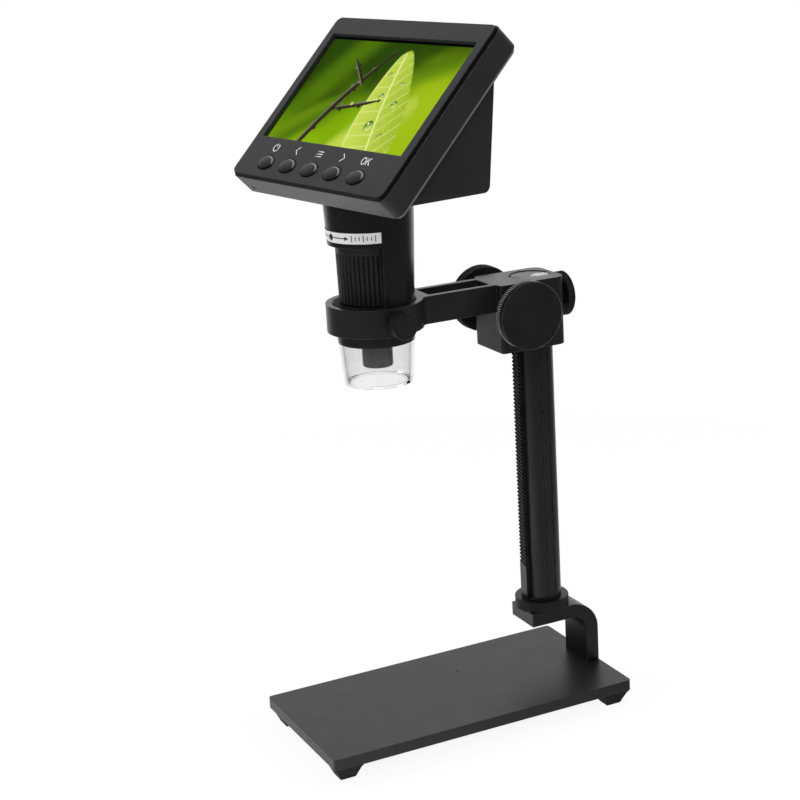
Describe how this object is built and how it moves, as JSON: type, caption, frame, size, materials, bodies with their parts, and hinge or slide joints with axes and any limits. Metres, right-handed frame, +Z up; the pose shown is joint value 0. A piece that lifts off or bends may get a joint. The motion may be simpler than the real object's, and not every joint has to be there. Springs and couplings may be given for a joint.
{
  "type": "lcd digital microscope",
  "caption": "Desk microscope with a tilted screen on its tube, held in the ring of an arm that a rack and pinion drives up and down a round column on a flat base plate.",
  "frame": {"origin": "centre of the base plate on the floor, under the feet", "axes": "+X to the user's right, +Y to the back, +Z up along the column; the screen faces the user at -Y, turned 9.9 degrees towards +X"},
  "size_m": [0.116, 0.1422, 0.2971],
  "materials": {
    "painted_steel": "fine black powder coat",
    "black_aluminium": "black anodised, satin",
    "rack_steel": "blackened steel",
    "bare_steel": "bright",
    "brass": "turned",
    "foot_rubber": "matte",
    "nylon": "matte",
    "housing_plastic": "fine moulded texture",
    "button_plastic": "soft matte",
    "label_film": "silver film",
    "clear_plastic": "polished clear",
    "screen_glass": "glossy",
    "screen_frame": "satin",
    "board": "solder mask",
    "lamp": "glossy",
    "cell_foil": "foil"
  },
  "bodies": {
    "base": {"base_plate": "painted_steel", "rubber_feet": "foot_rubber", "c_bracket": "painted_steel", "bracket_screws": "bare_steel"},
    "column": {"column": "black_aluminium", "gear_rack": "rack_steel", "column_bolt": "bare_steel"},
    "collar": {"lock_collar": "black_aluminium"},
    "carriage": {"arm_carriage": "black_aluminium", "shaft_bushes": "brass"},
    "drive": {"pinion_shaft": "bare_steel", "pinion_gear": "brass", "drive_knob_right": "black_aluminium", "drive_knob_left": "black_aluminium"},
    "brake": {"brake_pad": "brass"},
    "rear_clamp": {"clamp_knob": "black_aluminium"},
    "ring_brake": {"ring_pad": "nylon"},
    "ring_clamp": {"ring_screw": "black_aluminium"},
    "head": {"tube_body": "housing_plastic", "label_strip": "label_film", "led_board": "board", "leds": "lamp", "sensor_board": "board", "front_bezel": "housing_plastic", "lcd_glass": "screen_glass", "lcd_module": "screen_frame", "key_board": "board", "main_board": "board", "battery": "cell_foil", "usb_socket": "bare_steel", "card_slot": "bare_steel", "rear_housing": "housing_plastic", "housing_screws": "bare_steel"},
    "focus": {"focus_wheel": "housing_plastic"},
    "lens": {"lens_barrel": "black_aluminium", "objective_lens": "clear_plastic"},
    "cap": {"clear_cap": "clear_plastic"},
    "dimmer": {"dimmer_wheel": "button_plastic"},
    "button_power": {"button_power": "button_plastic"},
    "button_left_arrow": {"button_left_arrow": "button_plastic"},
    "button_menu": {"button_menu": "button_plastic"},
    "button_right_arrow": {"button_right_arrow": "button_plastic"},
    "button_ok": {"button_ok": "button_plastic"}
  },
  "joints": [
    {"name": "column_swivel", "type": "hinge", "parent": "base", "child": "column", "pos_m": [0, 0.04795, 0.03995], "axis": [0, 0, 1], "range_deg": [-180, 180]},
    {"name": "collar_turn", "type": "hinge", "parent": "column", "child": "collar", "pos_m": [0, 0.04795, 0.03995], "axis": [0, 0, 1], "range_deg": [-180, 180]},
    {"name": "carriage_slide", "type": "slide", "parent": "column", "child": "carriage", "axis": [0, 0, 1], "range_m": [-0.11, 0.006]},
    {"name": "pinion_spin", "type": "hinge", "parent": "carriage", "child": "drive", "pos_m": [0, 0.03566, 0.17675], "axis": [1, 0, 0], "range_deg": [-90, 1585]},
    {"name": "brake_slide", "type": "slide", "parent": "carriage", "child": "brake", "axis": [0, 1, 0], "range_m": [0, 0.001]},
    {"name": "rear_clamp_turn", "type": "hinge", "parent": "brake", "child": "rear_clamp", "pos_m": [0, 0.05895, 0.1784], "axis": [0, 1, 0], "range_deg": [0, 450.5]},
    {"name": "ring_brake_slide", "type": "slide", "parent": "carriage", "child": "ring_brake", "axis": [1, 0, 0], "range_m": [0, 0.000875]},
    {"name": "ring_clamp_turn", "type": "hinge", "parent": "ring_brake", "child": "ring_clamp", "pos_m": [0.0198, -0.02435, 0.18285], "axis": [1, 0, 0], "range_deg": [0, 450.5]},
    {"name": "head_turn", "type": "hinge", "parent": "carriage", "child": "head", "pos_m": [0, -0.02435, 0.1771], "axis": [0, 0, 1], "continuous": true},
    {"name": "focus_turn", "type": "hinge", "parent": "head", "child": "focus", "pos_m": [0, -0.02435, 0.2], "axis": [0, 0, 1], "range_deg": [-135.5, 135.5]},
    {"name": "lens_slide", "type": "slide", "parent": "head", "child": "lens", "axis": [0, 0, 1], "range_m": [-0.0045, 0.0045]},
    {"name": "cap_pull", "type": "slide", "parent": "head", "child": "cap", "axis": [0, 0, -1], "range_m": [0, 0.03]},
    {"name": "dimmer_turn", "type": "hinge", "parent": "head", "child": "dimmer", "pos_m": [-0.04612, -0.01486, 0.26638], "axis": [0.1207, -0.6917, 0.712], "range_deg": [-135, 135]},
    {"name": "button_power_press", "type": "slide", "parent": "head", "child": "button_power", "axis": [-0.1207, 0.6917, -0.712], "range_m": [0, 0.0008], "stiffness_N_per_m": 300},
    {"name": "button_left_arrow_press", "type": "slide", "parent": "head", "child": "button_left_arrow", "axis": [-0.1207, 0.6917, -0.712], "range_m": [0, 0.0008], "stiffness_N_per_m": 300},
    {"name": "button_menu_press", "type": "slide", "parent": "head", "child": "button_menu", "axis": [-0.1207, 0.6917, -0.712], "range_m": [0, 0.0008], "stiffness_N_per_m": 300},
    {"name": "button_right_arrow_press", "type": "slide", "parent": "head", "child": "button_right_arrow", "axis": [-0.1207, 0.6917, -0.712], "range_m": [0, 0.0008], "stiffness_N_per_m": 300},
    {"name": "button_ok_press", "type": "slide", "parent": "head", "child": "button_ok", "axis": [-0.1207, 0.6917, -0.712], "range_m": [0, 0.0008], "stiffness_N_per_m": 300}
  ],
  "couplings": [
    {"joint": "pinion_spin", "follows": "carriage_slide", "rad_per_m": -250.58},
    {"joint": "rear_clamp_turn", "follows": "brake_slide", "rad_per_m": 7854},
    {"joint": "ring_clamp_turn", "follows": "ring_brake_slide", "rad_per_m": 8976},
    {"joint": "focus_turn", "follows": "lens_slide", "rad_per_m": 523.56}
  ]
}
